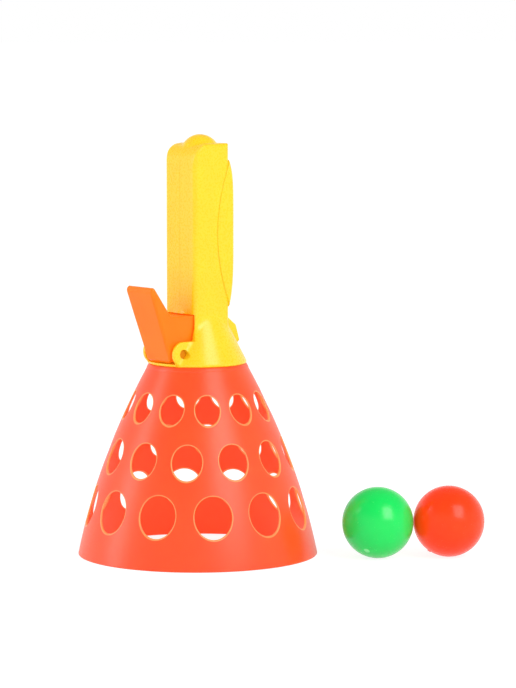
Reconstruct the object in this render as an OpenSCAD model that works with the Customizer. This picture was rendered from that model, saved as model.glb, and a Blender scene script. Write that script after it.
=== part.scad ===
// Ball catch toy: a basket with holes on a two-part handle, a squeeze trigger that kicks
// the ball out of its seat, and two light balls that stand beside it.
// The toy stands on the mouth of its basket. The origin is the middle of the mouth, on the
// table. +Z runs up the handle, -X points to the trigger and Y runs along the trigger pin.

/* [Basket] */
// Outside diameter of the mouth
mouth_d = 135.2; // [120:0.2:150]
// Outside diameter of the neck, where the handle starts
neck_d = 54.6; // [53:0.2:60]
// Height of the basket
basket_h = 108; // [100:1:125]
// How far the side bows outwards from a straight cone
side_bow = 4.6; // [2:0.1:6]
// Thickness of the side, measured level
basket_wall = 1.2; // [1:0.1:2.4]
// Thickness of the deck that closes the neck
deck_t = 1.8; // [1.4:0.1:3]
// Number of holes in each row
holes_per_row = 12; // [8:1:12]
// Heights of the middles of the three rows of holes
row_z = [28.5, 57.5, 85]; // [20:0.5:90]
// Widths of the holes in the three rows
hole_w = [20.9, 16.8, 13.8]; // [10:0.1:22]
// Dip of the holes towards the outside, which makes them taller than wide, in degrees
hole_dip = 13; // [5:1:18]
// Turn of each row about the basket, in degrees
row_turn = [1.3, 16.3, 1.3]; // [0:0.1:30]

/* [Ball seat] */
// Inside diameter of the ring that the ball rests on
seat_d = 32; // [30:0.5:33]
// Wall of the ring
seat_wall = 1.6; // [1.2:0.1:2]
// How far the ring reaches down from the deck
seat_drop = 6; // [4:0.5:8]

/* [Balls] */
// Diameter of a ball
ball_d = 40; // [36:0.5:42]
// Wall of a ball
ball_wall = 1.2; // [0.8:0.1:2]
// Place of the green ball's middle on the table
green_at = [68.5, -76.4]; // [-150:0.1:150]
// Direction from the green ball to the red ball, in degrees about Z
red_bearing = -30.8; // [-60:0.1:0]
// Gap between the two balls
ball_gap = 0.4; // [0.1:0.1:10]
// Diameter of the moulding nub on each ball
nub_d = 2.4; // [1.5:0.1:3]
// Height of the nub above the ball
nub_rise = 0.4; // [0.2:0.1:0.8]

/* [Handle] */
// Height of the handle above the basket, without its dome
handle_h = 123.5; // [115:0.5:140]
// Handle from front to back
handle_depth = 24.8; // [24:0.1:30]
// Handle from side to side
handle_width = 28.4; // [27:0.1:32]
// Radius of the handle's upright edges
edge_r = 3.2; // [2.5:0.1:5]
// Wall of the handle halves
handle_wall = 1.6; // [1.2:0.1:2]
// Radius of the rounding from the front face to the top
brow_r = 11; // [8:0.5:12]
// Radius of the top edges at the sides and the back
top_edge_r = 2.4; // [1:0.1:3]
// Diameter of the dome where it meets the top
dome_d = 18.4; // [14:0.1:20]
// Height of the dome above the top
dome_rise = 4.9; // [3:0.1:7]
// How far the dome sits behind the middle of the handle
dome_back = 2; // [0:0.5:4]

/* [Skirt] */
// Height of the skirt's cone above the basket: its upper end lies inside the handle
skirt_h = 33; // [28:0.5:36]
// Thickness of the flange that lies on the basket
flange_t = 1.5; // [1.2:0.1:2]
// Diameter of the flange
flange_d = 55; // [54:0.2:60]

/* [Palm swell] */
// Height of the middle of the swell above the basket
swell_up = 73; // [68:0.5:80]
// Length of the swell along the handle
swell_len = 83; // [60:0.5:88]
// How far the swell bulges behind the back of the handle
swell_bulge = 3.3; // [2:0.1:5]
// How far the swell reaches forward along each side
swell_reach = 9.1; // [4:0.1:10]
// How far the swell stands proud of the sides
swell_proud = 0.8; // [0.4:0.1:1.4]

/* [Thumb fin] */
// Thickness of the fin
fin_t = 5; // [3:0.5:7]
// How far the fin reaches behind the handle
fin_reach = 15.7; // [13:0.1:18]
// Height of the fin's lower edge above the basket
fin_low = 10; // [9:0.5:12]
// Height of the fin's outer corner above the basket
fin_high = 20.3; // [18:0.1:24]
// Height at which the fin meets the back of the handle
fin_root = 31; // [28:0.5:36]

/* [Trigger] */
// Distance of the trigger pin in front of the handle's middle
pivot_out = 20.5; // [20:0.1:22]
// Height of the trigger pin above the basket
pivot_up = 7.1; // [6.8:0.1:8]
// Angle through which the trigger is squeezed
trigger_swing = 35; // [25:1:36]
// Gap left between the squeezed trigger and the handle
squeezed_gap = 1.4; // [1:0.1:3]
// Height of the ledge above the pin
ledge_up = 21; // [20:0.1:24]
// Height of the trigger's tip above the pin
tip_up = 38; // [34:0.1:42]
// Thickness of the trigger at its tip
tip_t = 3; // [2.2:0.1:4]
// Lean of the trigger's front face from upright, in degrees
face_lean = 19.4; // [16:0.1:23]
// Width of the trigger at its tip
tip_w = 24.2; // [23:0.1:28]
// Width of the trigger at its foot
foot_w = 22; // [20:0.1:23.4]
// Wall of the trigger
trigger_wall = 1.8; // [1.4:0.1:2.2]
// Chamfer along the upper edge of the tip
tip_chamfer = 1.3; // [0.6:0.1:2]
// Distance of the trigger's rear wall behind the pin
rear_wall_back = 11.5; // [10.5:0.1:12]
// Width of the kicker arm
kicker_w = 8; // [6:0.5:9]
// Diameter of the kicker's pad
pad_d = 12; // [10:0.5:14]
// Thickness of the kicker's pad
pad_t = 2.4; // [2:0.1:3]

/* [Pin and spring] */
// Diameter of the trigger pin
pin_d = 5; // [4:0.1:5.2]
// How deep the ends of the pin lie in the ears
pin_recess = 1.2; // [0.3:0.1:1.4]
// Radius of the ears about the pin
ear_r = 6.9; // [6.5:0.1:7.5]
// Thickness of each ear
ear_t = 2.1; // [2:0.1:3.5]
// Diameter of the spring wire
wire_d = 1.1; // [0.8:0.1:1.3]
// Full turns of the spring
spring_turns = 4; // [3:1:5]
// Length of the coil along the pin
coil_len = 8; // [7:0.1:9]
// Lean of the leg that pushes the trigger, in degrees
leg_lean = 32; // [30:1:38]

/* [Screws] */
// Diameter of the screw shanks
screw_d = 2.6; // [2:0.1:3]
// Diameter of the screw heads
head_d = 5.2; // [4.6:0.1:5.4]
// Height of the screw heads
head_h = 1.9; // [1.5:0.1:2.2]
// Length of the handle screws under the head
handle_screw_len = 16; // [14:0.5:17]
// Height of the lowest handle screw above the basket
handle_screw_low = 42; // [38:0.5:50]
// Distance of the highest handle screw below the top of the handle
handle_screw_down = 13.5; // [12:0.5:20]
// Length of the basket screws under the head
basket_screw_len = 8.5; // [7:0.5:9]
// Distance of the basket screws from the middle
basket_screw_out = 20.6; // [20.4:0.1:21]
// Directions of the basket screws, in degrees from the back
basket_screw_turn = [50, 122, -122, -50]; // [-130:1:130]

/* [Clearances] */
// Gap between the trigger and the handle at each side
side_gap = 0.3; // [0.2:0.05:0.4]
// Play of the trigger on its pin, all round
pin_play = 0.08; // [0.04:0.01:0.1]
// Play of a pin or screw in the piece that holds it, all round
hold_play = 0.02; // [0.01:0.01:0.04]
// Gap between faces that come to rest on each other
rest_gap = 0.3; // [0.2:0.05:0.5]

/* [Hidden] */
// Fineness of round forms, of hulls, of the swell, of the brow and of the spring
$fn = 64;
hull_fn = 32;
bell_fn = 96;
swell_slices = 8;
brow_steps = 16;
arc_step = 15;
wire_sides = 6;
coil_rings = 8;
// Overlap of inner pieces with the wall that they join
root = 0.5;
// Thickness of the thin slices between which hulls are drawn
slice = 0.1;
// Reach of cutters past the toy
far = 200;
// Play of a screw in the piece that its head clamps, all round
screw_play = 0.3;
// Material round the holes for the screw shanks, and round the pockets for the heads
boss_wall = 1.5;
pocket_wall = 1.6;
// Spare depth of a hole past the tip of its screw
spare_depth = 0.5;
// Gap under the trigger's bosses
boss_lift = 0.4;
// Gap between the seated ball and the kicker's pad
pad_gap = 0.6;
// Radius of the trigger's rounded foot, and how far its wall curls under the foot
foot_r = 2;
foot_curl = 45;
// How much wider the trigger is at the ledge than at the foot, on each side
ledge_flare = 0.8;
// Size of the lip that stops the trigger behind the handle's front wall
stop_rise = 2;
// Depth of the notch that the trigger's ledge lies in, behind the handle's front face
notch_depth = 0.5;
// Number of handle screws, spaced evenly
handle_screws = 3;
// Radial gap between the coil and the pin
coil_gap = 0.55;

basket_color = [1, 0.39, 0.22];
handle_color = [1, 0.88, 0.24];
trigger_color = [1, 0.52, 0.2];
pin_color = [0.85, 0.55, 0.1];
steel_color = [0.75, 0.76, 0.78];
green_color = [0.15, 0.92, 0.45];
red_color = [1, 0.3, 0.13];

mouth_r = mouth_d / 2;
neck_r = neck_d / 2;
flange_top = basket_h + flange_t;
handle_top = basket_h + handle_h;
front_x = -handle_depth / 2;
back_x = handle_depth / 2;
inner_half = handle_width / 2 - handle_wall;
deck_low = basket_h - deck_t;
seat_low = deck_low - seat_drop;
throat_r = seat_d / 2;
// The side is a stack of cones that meet on its curve, clear of the rows of holes
hole_margin = 0.85;
band_z = [
    0,
    row_z[0] - hole_margin * hole_w[0],
    (row_z[0] + hole_w[0] / 2 + row_z[1] - hole_w[1] / 2) / 2,
    (row_z[1] + hole_w[1] / 2 + row_z[2] - hole_w[2] / 2) / 2,
    row_z[2] + hole_margin * hole_w[2]
];
screw_r = screw_d / 2;
handle_screw_step = (handle_h - handle_screw_down - handle_screw_low) / (handle_screws - 1);
handle_screw_up = [for (i = [0 : handle_screws - 1]) handle_screw_low + i * handle_screw_step];
// Y of the face that the heads of the handle screws sit on
pocket_depth = 1.2;
head_seat_y = handle_width / 2 - head_h - pocket_depth;

dome_r = (pow(dome_d / 2, 2) + pow(dome_rise, 2)) / (2 * dome_rise);
dome_z = handle_top + dome_rise - dome_r;

pivot_x = -pivot_out;
pivot_z = basket_h + pivot_up;
ear_outer = inner_half + ear_t;
ear_end = sqrt(pow(throat_r, 2) - pow(inner_half, 2)) + handle_wall;
boss_r = pivot_z - flange_top - boss_lift;
ledge_z = pivot_z + ledge_up;
tip_z = pivot_z + tip_up;
slot_top = ledge_z + rest_gap;
squeezed_x = front_x - squeezed_gap;
tip_in_x = edge_x(tip_z);
ledge_in_x = edge_x(ledge_z);
foot_low = pivot_z - boss_r;
foot_z = foot_low + foot_r;
rear_x = pivot_x + rear_wall_back;
foot_half = foot_w / 2;
web_half = inner_half - side_gap;
ledge_half = min(web_half, foot_half + ledge_flare);
seated_z = seat_low - sqrt(pow(ball_d / 2, 2) - pow(throat_r, 2));
pad_low = seated_z + ball_d / 2 + pad_gap;

// Outside radius of the basket at a height
function side_r(z) = mouth_r + (neck_r - mouth_r) * z / basket_h
    + 4 * side_bow * z / basket_h * (1 - z / basket_h);
// X of the trigger's inner edge: it stands upright before the handle once squeezed
function edge_x(z) = pivot_x + (squeezed_x - pivot_x) / cos(trigger_swing)
    - (z - pivot_z) * tan(trigger_swing);
// X of the trigger's front face
function face_x(z) = tip_in_x - tip_t + (tip_z - z) * tan(face_lean);
// Height along the swell, from -1 at its foot to 1 at its top, and its depth there: the front
// edge is a long bow, and the back is nearly straight with blunt ends
function swell_z(t) = basket_h + swell_up + t * swell_len / 2;
function swell_front(t) = back_x - swell_reach * (1 - t * t);
function swell_back(t) = back_x + swell_bulge * (1 - pow(abs(t), t > 0 ? 6 : 4));

// Rectangle from x1 to x2 and half_w to each side, with round corners
module round_plate(x1, x2, half_w, r) {
    translate([(x1 + x2) / 2, 0])
        square([x2 - x1 - 2 * r, 2 * half_w], center = true);
    translate([(x1 + x2) / 2, 0])
        square([x2 - x1, 2 * half_w - 2 * r], center = true);
    for (x = [x1 + r, x2 - r], y = [r - half_w, half_w - r])
        translate([x, y])
            circle(r);
}

// Solid drawn in the X-Z plane and centred on Y
module side_view(w) {
    rotate([90, 0, 0])
        linear_extrude(w, center = true)
            children();
}

// Cylinder along Y between two places
module cross_rod(r, y1, y2) {
    translate([0, y1, 0])
        rotate([-90, 0, 0])
            cylinder(r = r, h = y2 - y1);
}

// Cutter for one hole of a row, through the side that faces +X
module hole_cutter(row) {
    reach = 12;
    translate([side_r(row_z[row]), 0, row_z[row]])
        rotate([0, 90 + hole_dip, 0])
            cylinder(d = hole_w[row], h = 2 * reach, center = true);
}

// Bell of the basket with its deck and ball seat, before the holes
module basket_form() {
    rotate_extrude($fn = bell_fn)
        polygon(concat(
            [for (z = concat(band_z, basket_h)) [side_r(z), z]],
            [
                [throat_r, basket_h],
                [throat_r, seat_low],
                [throat_r + seat_wall, seat_low],
                [throat_r + seat_wall, deck_low],
                [side_r(deck_low) - basket_wall, deck_low]
            ],
            [for (i = [len(band_z) - 1 : -1 : 0]) [side_r(band_z[i]) - basket_wall, band_z[i]]]
        ));
}

module basket() {
    color(basket_color)
        difference() {
            basket_form();
            for (row = [0 : len(row_z) - 1], i = [0 : holes_per_row - 1])
                rotate(row_turn[row] + i * 360 / holes_per_row)
                    hole_cutter(row);
            for (a = basket_screw_turn)
                rotate(a)
                    translate([basket_screw_out, 0, seat_low])
                        cylinder(r = screw_r + screw_play, h = basket_h);
        }
}

// Straight part of the handle: plan, side view and front view cut from one another
module column_form(inset) {
    top = handle_top - inset;
    front = front_x + inset;
    back = back_x - inset;
    half_w = handle_width / 2 - inset;
    brow = brow_r - inset;
    edge = max(top_edge_r - inset, top_edge_r / 4);
    fold = 0.3 * edge;
    intersection() {
        translate([0, 0, flange_top])
            linear_extrude(handle_h)
                round_plate(front, back, half_w, edge_r - inset);
        side_view(2 * handle_width)
            polygon(concat(
                [[front, 0], [back, 0], [back, top - edge], [back - edge, top]],
                [for (a = [90 : 90 / brow_steps : 180])
                    [front + brow + brow * cos(a), top - brow + brow * sin(a)]]
            ));
        rotate([90, 0, 90])
            linear_extrude(2 * handle_depth, center = true)
                polygon([
                    [-half_w, 0], [half_w, 0],
                    [half_w, top - edge], [half_w - fold, top - fold],
                    [half_w - edge, top], [edge - half_w, top],
                    [fold - half_w, top - fold], [-half_w, top - edge]
                ]);
    }
}

// Skirt: a cone that grows out of the faces of the straight handle
module skirt_form(inset) {
    translate([0, 0, flange_top])
        cylinder(d1 = flange_d - 2 * inset, d2 = handle_depth - 4 * root - 2 * inset,
                 h = skirt_h - flange_t);
}

// Palm swell that wraps round the back of the handle
module swell_form(inset) {
    hull()
        for (i = [0 : swell_slices]) {
            t = -1 + 2 * i / swell_slices;
            x1 = swell_front(t) - 2 * edge_r;
            x2 = swell_back(t) - inset;
            translate([0, 0, swell_z(t)])
                linear_extrude(slice)
                    round_plate(x1, x2, handle_width / 2 + swell_proud - inset,
                                edge_r - inset, $fn = hull_fn);
        }
}

// Part of the swell behind its curved front edge
module swell_behind(inset) {
    count = 2 * swell_slices;
    intersection() {
        swell_form(inset);
        side_view(2 * handle_width)
            polygon(concat(
                [for (i = [0 : count])
                    let (t = -1 + 2 * i / count)
                    [swell_front(t), swell_z(t)]],
                [[far, swell_z(1)], [far, swell_z(-1)]]
            ));
    }
}

// Thumb fin at the back, from its root down to the skirt
module fin_form() {
    nose = 2.6;
    chin = 1.5;
    side_view(fin_t)
        polygon([
            [back_x - handle_wall, basket_h + fin_root],
            [back_x, basket_h + fin_root],
            [back_x + fin_reach - nose, basket_h + fin_high],
            [back_x + fin_reach, basket_h + fin_low + chin],
            [back_x + fin_reach - chin, basket_h + fin_low],
            [back_x + fin_reach / 3, basket_h + fin_low],
            [back_x - handle_wall, basket_h + fin_root - fin_t]
        ]);
}

// Ear plate on each side of the trigger, round about the pin
module ear_plates() {
    for (side = [-1, 1])
        translate([0, side * (inner_half + ear_outer) / 2, 0])
            side_view(ear_t)
                intersection() {
                    union() {
                        translate([pivot_x, pivot_z])
                            circle(ear_r);
                        translate([pivot_x, basket_h])
                            square([pivot_out - ear_end, pivot_up + ear_r]);
                    }
                    translate([-far, basket_h])
                        square([2 * far, handle_h]);
                }
}

// Outside of the whole handle
module handle_form() {
    column_form(0);
    skirt_form(0);
    swell_behind(0);
    fin_form();
    translate([0, 0, basket_h])
        cylinder(d = flange_d, h = flange_t);
    intersection() {
        translate([dome_back, 0, dome_z])
            sphere(dome_r);
        translate([-far, -far, handle_top - brow_r])
            cube([2 * far, 2 * far, brow_r + dome_rise]);
    }
}

// Room inside the handle
module handle_hollow() {
    column_form(handle_wall);
    skirt_form(handle_wall);
    intersection() {
        swell_behind(handle_wall);
        translate([back_x - swell_reach + handle_wall, -far, 0])
            cube([far, 2 * far, 2 * far]);
    }
    translate([0, 0, basket_h - flange_t])
        cylinder(r = throat_r, h = 3 * flange_t);
}

// Slot that the trigger moves in, and the notch across the front for its ledge
module trigger_slot() {
    notch_x = front_x + notch_depth;
    ear_top = pivot_z + ear_r;
    slope_h = ear_r;
    slope_w = 1.8;
    translate([-far, -inner_half, flange_top])
        cube([far + front_x + edge_r, 2 * inner_half, slot_top - flange_top]);
    side_view(far)
        polygon([
            [-far, slot_top],
            [notch_x, slot_top],
            [notch_x, ear_top + slope_h],
            [notch_x - slope_w, ear_top],
            [-far, ear_top]
        ]);
}

// Shell of the handle with its ears, before it is split
module handle_shell() {
    difference() {
        union() {
            difference() {
                handle_form();
                handle_hollow();
            }
            ear_plates();
        }
        trigger_slot();
        translate([pivot_x, 0, pivot_z])
            cross_rod(pin_d / 2 + hold_play, -far, far);
    }
}

// Depth of the holes for the basket screws
pilot_h = basket_screw_len - deck_t + spare_depth;

// Bosses on the flange for the basket screws, kept inside the handle
module basket_bosses() {
    intersection() {
        handle_form();
        for (a = basket_screw_turn)
            rotate(a)
                translate([basket_screw_out, 0, basket_h])
                    cylinder(r = screw_r + boss_wall, h = pilot_h + boss_wall);
    }
}

// Holes in the bosses for the basket screws
module basket_screw_pilots() {
    for (a = basket_screw_turn)
        rotate(a)
            translate([basket_screw_out, 0, basket_h - flange_t])
                cylinder(r = screw_r + hold_play, h = flange_t + pilot_h);
}

// Half of the space, to the -Y side for side = -1 and to the +Y side for side = 1
module half_space(side) {
    translate([-far, side < 0 ? -far : 0, 0])
        cube([2 * far, far, 2 * far]);
}

// Left half: holds the screw points
module handle_left_half() {
    color(handle_color)
        difference() {
            union() {
                intersection() {
                    handle_shell();
                    half_space(-1);
                }
                intersection() {
                    basket_bosses();
                    half_space(-1);
                }
                for (up = handle_screw_up)
                    translate([0, 0, basket_h + up])
                        cross_rod(screw_r + boss_wall, -inner_half - root, 0);
                handle_ribs(-inner_half - root, 0);
            }
            for (up = handle_screw_up)
                translate([0, 0, basket_h + up])
                    cross_rod(screw_r + hold_play,
                              head_seat_y - handle_screw_len - spare_depth, root);
            basket_screw_pilots();
        }
}

// Right half: holds the screw heads in round pockets
module handle_right_half() {
    color(handle_color)
        difference() {
            union() {
                intersection() {
                    handle_shell();
                    half_space(1);
                }
                intersection() {
                    basket_bosses();
                    half_space(1);
                }
                for (up = handle_screw_up)
                    translate([0, 0, basket_h + up])
                        cross_rod(head_d / 2 + pocket_wall, 0, inner_half + root);
                handle_ribs(0, inner_half + root);
            }
            for (up = handle_screw_up)
                translate([0, 0, basket_h + up]) {
                    cross_rod(screw_r + screw_play, -root, far);
                    cross_rod(head_d / 2 + screw_play, head_seat_y, far);
                }
            basket_screw_pilots();
        }
}

// Stiffening ribs across the inside, between the screw bosses
module handle_ribs(y1, y2) {
    rib_t = 1.2;
    for (i = [0 : len(handle_screw_up) - 2]) {
        up = (handle_screw_up[i] + handle_screw_up[i + 1]) / 2;
        translate([front_x + handle_wall - root, y1, basket_h + up - rib_t / 2])
            cube([handle_depth - 2 * handle_wall + 2 * root, y2 - y1, rib_t]);
    }
}

// Outline of the trigger's webs, from the side
module trigger_outline() {
    low_turn = -90 + trigger_swing;
    polygon(concat(
        [
            [face_x(tip_z - tip_chamfer), tip_z - tip_chamfer],
            [tip_in_x - tip_t + tip_chamfer, tip_z],
            [tip_in_x, tip_z],
            [ledge_in_x, ledge_z],
            [rear_x, ledge_z],
            [rear_x, pivot_z + boss_r * sin(low_turn)
                + (rear_wall_back - boss_r * cos(low_turn)) * tan(trigger_swing)]
        ],
        [for (a = [low_turn : -trigger_swing / 4 : -90])
            [pivot_x + boss_r * cos(a), pivot_z + boss_r * sin(a)]],
        [for (a = [90 : -arc_step : 0])
            [face_x(foot_z) + foot_r * (1 - cos(a)), foot_z - foot_r * sin(a)]]
    ));
}

// Width of the trigger, seen from the front
module trigger_width(inset) {
    tip_half = tip_w / 2 - inset;
    wide = ledge_half - inset;
    narrow = foot_half - inset;
    wide_z = ledge_z + rest_gap;
    low = foot_low - trigger_wall;
    rotate([90, 0, 90])
        linear_extrude(2 * far, center = true)
            polygon([
                [tip_half, tip_z], [wide, wide_z], [wide, ledge_z - trigger_wall], [narrow, low],
                [-narrow, low], [-wide, ledge_z - trigger_wall], [-wide, wide_z], [-tip_half, tip_z]
            ]);
}

// Room between the webs, from the side: the channel of the tab and the room under the ledge
module trigger_room() {
    wall_x = trigger_wall / cos(face_lean);
    tab_top = tip_z - trigger_wall;
    room_top = ledge_z - trigger_wall;
    inner_r = foot_r - trigger_wall;
    foot_x = face_x(foot_z) + foot_r;
    below = foot_low - trigger_wall;
    polygon([
        [face_x(tab_top) + wall_x, tab_top],
        [far, tab_top],
        [far, ledge_z],
        [face_x(ledge_z) + wall_x, ledge_z]
    ]);
    polygon(concat(
        [
            [face_x(room_top) + wall_x, room_top],
            [rear_x - trigger_wall, room_top],
            [rear_x - trigger_wall, below],
            [foot_x - inner_r * cos(foot_curl), below]
        ],
        [for (a = [foot_curl : -arc_step : 0])
            [foot_x - inner_r * cos(a), foot_z - inner_r * sin(a)]]
    ));
}

// Arm and pad that reach from the trigger's rear wall to the ball
module kicker_form() {
    pad_r = pad_d / 2;
    bevel = pad_t / 4;
    arm_top = ledge_z - 3 * trigger_wall;
    side_view(kicker_w)
        polygon([
            [rear_x - trigger_wall, arm_top],
            [rear_x, arm_top],
            [pad_r, pad_low + 2 * pad_t],
            [pad_r - bevel, pad_low + bevel],
            [bevel - pad_r, pad_low + bevel],
            [rear_x - trigger_wall / 2, pad_low + 2 * pad_t + bevel],
            [rear_x - trigger_wall, pivot_z + boss_r]
        ]);
    translate([0, 0, pad_low + bevel])
        cylinder(d = pad_d, h = pad_t - bevel);
    translate([0, 0, pad_low])
        cylinder(d1 = pad_d - 2 * bevel, d2 = pad_d, h = bevel);
}

module trigger() {
    stop_x = front_x + handle_wall + rest_gap;
    stop_half = 0.8 * ledge_half;
    boss_in = coil_len / 2 + 2 * wire_d;
    color(trigger_color)
        difference() {
            union() {
                difference() {
                    intersection() {
                        side_view(2 * far)
                            trigger_outline();
                        trigger_width(0);
                    }
                    intersection() {
                        side_view(2 * far)
                            trigger_room();
                        trigger_width(trigger_wall);
                    }
                }
                kicker_form();
                translate([pivot_x, 0, pivot_z]) {
                    cross_rod(boss_r, -web_half, -boss_in);
                    cross_rod(boss_r, boss_in, web_half);
                }
                translate([stop_x, -stop_half, ledge_z - trigger_wall])
                    cube([rear_x - stop_x, 2 * stop_half, trigger_wall + stop_rise]);
            }
            translate([pivot_x, 0, pivot_z])
                cross_rod(pin_d / 2 + pin_play, -far, far);
        }
}

module trigger_pin() {
    half_len = ear_outer - pin_recess;
    bevel = 0.4;
    color(pin_color)
        translate([pivot_x, 0, pivot_z]) {
            cross_rod(pin_d / 2, bevel - half_len, half_len - bevel);
            for (turn = [-90, 90])
                rotate([turn, 0, 0])
                    translate([0, 0, half_len - bevel])
                        cylinder(d1 = pin_d, d2 = pin_d - 2 * bevel, h = bevel);
        }
}

// Spring route: a leg on the trigger's front wall, the coil, a leg on the flange
leg_rest = 0.1;
coil_r = pin_d / 2 + coil_gap + wire_d / 2;
first_turn = 180 + leg_lean;
floor_z = flange_top + wire_d / 2 + hold_play;
floor_drop = pivot_z - floor_z;
floor_leg = pivot_out - throat_r + hold_play;
last_turn = 270 - atan((floor_drop - coil_r) / (floor_leg + wire_d)) + 360 * spring_turns;
leg_gap = coil_r * cos(first_turn) + pivot_x - face_x(pivot_z + coil_r * sin(first_turn))
    - (trigger_wall + wire_d / 2 + leg_rest) / cos(face_lean);
leg_len = leg_gap / (sin(leg_lean) - tan(face_lean) * cos(leg_lean));
coil_steps = ceil((last_turn - first_turn) * coil_rings / 360);
spring_route = concat(
    [spring_point(first_turn, coil_len / 2) + leg_len * [-sin(leg_lean), 0, cos(leg_lean)]],
    [for (i = [0 : coil_steps])
        spring_point(first_turn + (last_turn - first_turn) * i / coil_steps,
                     coil_len / 2 - coil_len * i / coil_steps)],
    [[pivot_x + floor_leg, -coil_len / 2, floor_z]]
);

// Point on the coil at an angle from +X and a place along the pin
function spring_point(a, y) = [pivot_x + coil_r * cos(a), y, pivot_z + coil_r * sin(a)];
// Unit vector
function unit(v) = v / norm(v);
// Direction of a route at one of its points
function heading(route, i) = unit(route[min(i + 1, len(route) - 1)] - route[max(i - 1, 0)]);
// Ring of points round a route at one of its points, with one side kept towards Y
function ring(route, i, r, sides) =
    let (
        t = heading(route, i),
        u = unit([0, 1, 0] - t * t[1]),
        v = cross(t, u)
    )
    [for (a = [0 : 360 / sides : 359]) route[i] + r * (cos(a) * u + sin(a) * v)];

// Closed tube along a route
module tube(route, r, sides) {
    last = len(route) - 1;
    polyhedron(
        points = [for (i = [0 : last]) each ring(route, i, r, sides)],
        faces = concat(
            [[for (k = [0 : sides - 1]) k]],
            [for (i = [0 : last - 1], k = [0 : sides - 1])
                let (a = i * sides + k, b = i * sides + (k + 1) % sides)
                each [[a, a + sides, b + sides], [a, b + sides, b]]],
            [[for (k = [sides - 1 : -1 : 0]) last * sides + k]]
        )
    );
}

module trigger_spring() {
    color(steel_color)
        tube(spring_route, wire_d / 2, wire_sides);
}

// Self-tapping screw with its head at the origin and its point down -Z
module screw(len) {
    point_h = 2;
    cross_w = 0.8;
    cross_len = head_d / 2;
    rim_h = 0.6 * head_h;
    difference() {
        union() {
            cylinder(d = head_d, h = rim_h);
            translate([0, 0, rim_h])
                cylinder(d1 = head_d, d2 = 0.6 * head_d, h = head_h - rim_h);
        }
        for (a = [0, 90])
            rotate(a)
                translate([-cross_len / 2, -cross_w / 2, head_h / 2])
                    cube([cross_len, cross_w, head_h]);
    }
    translate([0, 0, point_h - len])
        cylinder(d = screw_d, h = len - point_h);
    translate([0, 0, -len])
        cylinder(d1 = 0.3 * screw_d, d2 = screw_d, h = point_h);
}

module handle_screw(i) {
    color(steel_color)
        translate([0, head_seat_y, basket_h + handle_screw_up[i]])
            rotate([-90, 0, 0])
                screw(handle_screw_len);
}

module basket_screw(i) {
    color(steel_color)
        rotate(basket_screw_turn[i])
            translate([basket_screw_out, 0, deck_low])
                rotate([180, 0, 0])
                    screw(basket_screw_len);
}

// Hollow ball with a moulding nub at a bearing and a dip below the ball's middle
module ball(at, nub_bearing, nub_dip) {
    translate([at[0], at[1], ball_d / 2])
        difference() {
            union() {
                sphere(d = ball_d);
                rotate([0, 90 + nub_dip, nub_bearing])
                    cylinder(d = nub_d, h = ball_d / 2 + nub_rise);
            }
            sphere(d = ball_d - 2 * ball_wall);
        }
}

module ball_green() {
    color(green_color)
        ball(green_at, -155, 44);
}

module ball_red() {
    reach = ball_d + ball_gap;
    color(red_color)
        ball(green_at + reach * [cos(red_bearing), sin(red_bearing)], 155, 55);
}

basket();
handle_left_half();
handle_right_half();
trigger();
trigger_pin();
trigger_spring();
handle_screw(0);  // handle_screw_1
handle_screw(1);  // handle_screw_2
handle_screw(2);  // handle_screw_3
basket_screw(0);  // basket_screw_1
basket_screw(1);  // basket_screw_2
basket_screw(2);  // basket_screw_3
basket_screw(3);  // basket_screw_4
ball_green();
ball_red();
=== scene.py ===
"""Ball catch toy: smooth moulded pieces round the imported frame, plastics, light and camera.

The launcher and trigger are drawn as distance fields: a function gives how far a point is
outside a form, forms are joined and cut with rounded edges, and net() turns the surface
where the distance is zero into a mesh. Lengths in the fields are millimetres.
"""

import math
from itertools import product

import bpy
import numpy as np
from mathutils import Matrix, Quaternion, Vector


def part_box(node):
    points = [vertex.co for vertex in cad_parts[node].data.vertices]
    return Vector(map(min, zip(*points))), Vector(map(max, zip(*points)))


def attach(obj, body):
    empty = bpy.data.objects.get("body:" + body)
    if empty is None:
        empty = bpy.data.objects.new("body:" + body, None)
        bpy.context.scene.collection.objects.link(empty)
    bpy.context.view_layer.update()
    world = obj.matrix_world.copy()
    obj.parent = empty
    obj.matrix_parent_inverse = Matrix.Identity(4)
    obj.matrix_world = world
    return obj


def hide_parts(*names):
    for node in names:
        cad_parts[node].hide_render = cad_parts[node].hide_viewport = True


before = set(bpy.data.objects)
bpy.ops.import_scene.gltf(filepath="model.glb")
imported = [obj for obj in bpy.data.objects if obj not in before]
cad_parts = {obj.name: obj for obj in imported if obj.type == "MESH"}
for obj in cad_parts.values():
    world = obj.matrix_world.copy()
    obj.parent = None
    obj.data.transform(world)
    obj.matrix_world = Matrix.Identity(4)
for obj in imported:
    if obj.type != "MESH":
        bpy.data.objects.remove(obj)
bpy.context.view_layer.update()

MM = 0.001


# Sizes in millimetres: _R is a radius, _Z a height, _HALF a half width.
# The main ones are those of the solids. Edge roundings and fillets are the scene's own.

# Basket: bell, deck and seat ring, and the holes row by row from the mouth up.
BASKET_H = 108.0
MOUTH_R = 67.6
NECK_R = 27.3
SIDE_BOW = 4.6
BASKET_WALL = 1.2
DECK_LOW = 106.2
HOLES = 12
ROW_Z = (28.5, 57.5, 85.0)
HOLE_W = (20.9, 16.8, 13.8)
ROW_TURN = (1.3, 16.3, 1.3)
HOLE_DIP = math.radians(13)
# Width of the painted highlight round each hole.
RIM_HIGHLIGHT = 0.8
# Depth into the wall where the painted glow on the inside starts.
GLOW_DEPTH = 0.5
THROAT_R = 16.0
RING_R = 17.6
RING_LOW = 100.2
SIDE_STEEP = 0.93
MOUTH_EDGE_R = 0.5
DECK_FILLET = 0.8
RING_FILLET = 0.4
BASKET_TOP_R = 0.6
HOLE_EDGE_R = 0.45
DRILL_EDGE_R = 0.1

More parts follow.
